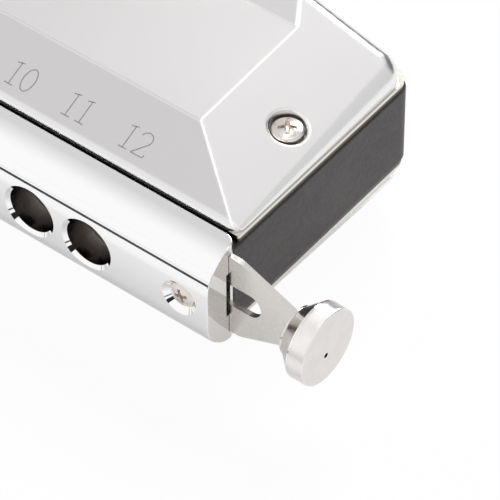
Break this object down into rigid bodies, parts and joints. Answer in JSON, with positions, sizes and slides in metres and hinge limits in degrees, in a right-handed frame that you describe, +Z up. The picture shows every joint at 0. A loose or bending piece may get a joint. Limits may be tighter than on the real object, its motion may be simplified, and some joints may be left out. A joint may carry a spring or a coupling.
{
  "type": "chromatic harmonica",
  "caption": "Chromatic harmonica: bright mouthpiece with round holes, sprung slide with a turned push button, dark comb, brass reed plates with valved reeds, and bolted steel covers.",
  "frame": {"origin": "centre of the comb's flat rear face", "axes": "+X along the instrument to the button, +Y away from the player, out of the comb's rear face, +Z up through the upper cover"},
  "size_m": [0.1579, 0.0444, 0.029],
  "materials": {
    "comb_plastic": "satin black moulded plastic",
    "plate_brass": "bright rolled brass",
    "reed_brass": "bright rolled brass",
    "valve_film": "thin matt plastic film",
    "cover_steel": "satin bright stainless sheet",
    "mouthpiece_chrome": "mirror plated brass",
    "slide_steel": "satin nickel-plated strip",
    "button_nickel": "turned and plated",
    "spring_steel": "plain spring wire",
    "screw_steel": "nickel-plated steel",
    "bumper_rubber": "matt"
  },
  "bodies": {
    "instrument": {"comb": "comb_plastic", "upper_reed_plate": "plate_brass", "upper_blow_reeds": "reed_brass", "upper_draw_reeds": "reed_brass", "upper_reed_rivets": "reed_brass", "upper_outer_valves": "valve_film", "upper_inner_valves": "valve_film", "upper_plate_screws": "screw_steel", "upper_cover": "cover_steel", "lower_reed_plate": "plate_brass", "lower_blow_reeds": "reed_brass", "lower_draw_reeds": "reed_brass", "lower_reed_rivets": "reed_brass", "lower_outer_valves": "valve_film", "lower_inner_valves": "valve_film", "lower_plate_screws": "screw_steel", "lower_cover": "cover_steel", "slide_backing_plate": "slide_steel", "mouthpiece": "mouthpiece_chrome", "slide_spring": "spring_steel", "spring_post": "spring_steel", "mouthpiece_screws": "screw_steel", "slide_bumpers": "bumper_rubber", "cover_bolts": "screw_steel", "cover_nuts": "screw_steel"},
    "slide": {"slide_blade": "slide_steel", "slide_button": "button_nickel"}
  },
  "joints": [
    {"name": "button_slide", "type": "slide", "parent": "instrument", "child": "slide", "axis": [-1, 0, 0], "range_m": [0, 0.0047], "stiffness_N_per_m": 150, "springref_m": -0.008, "deforming": ["slide_spring"]}
  ]
}
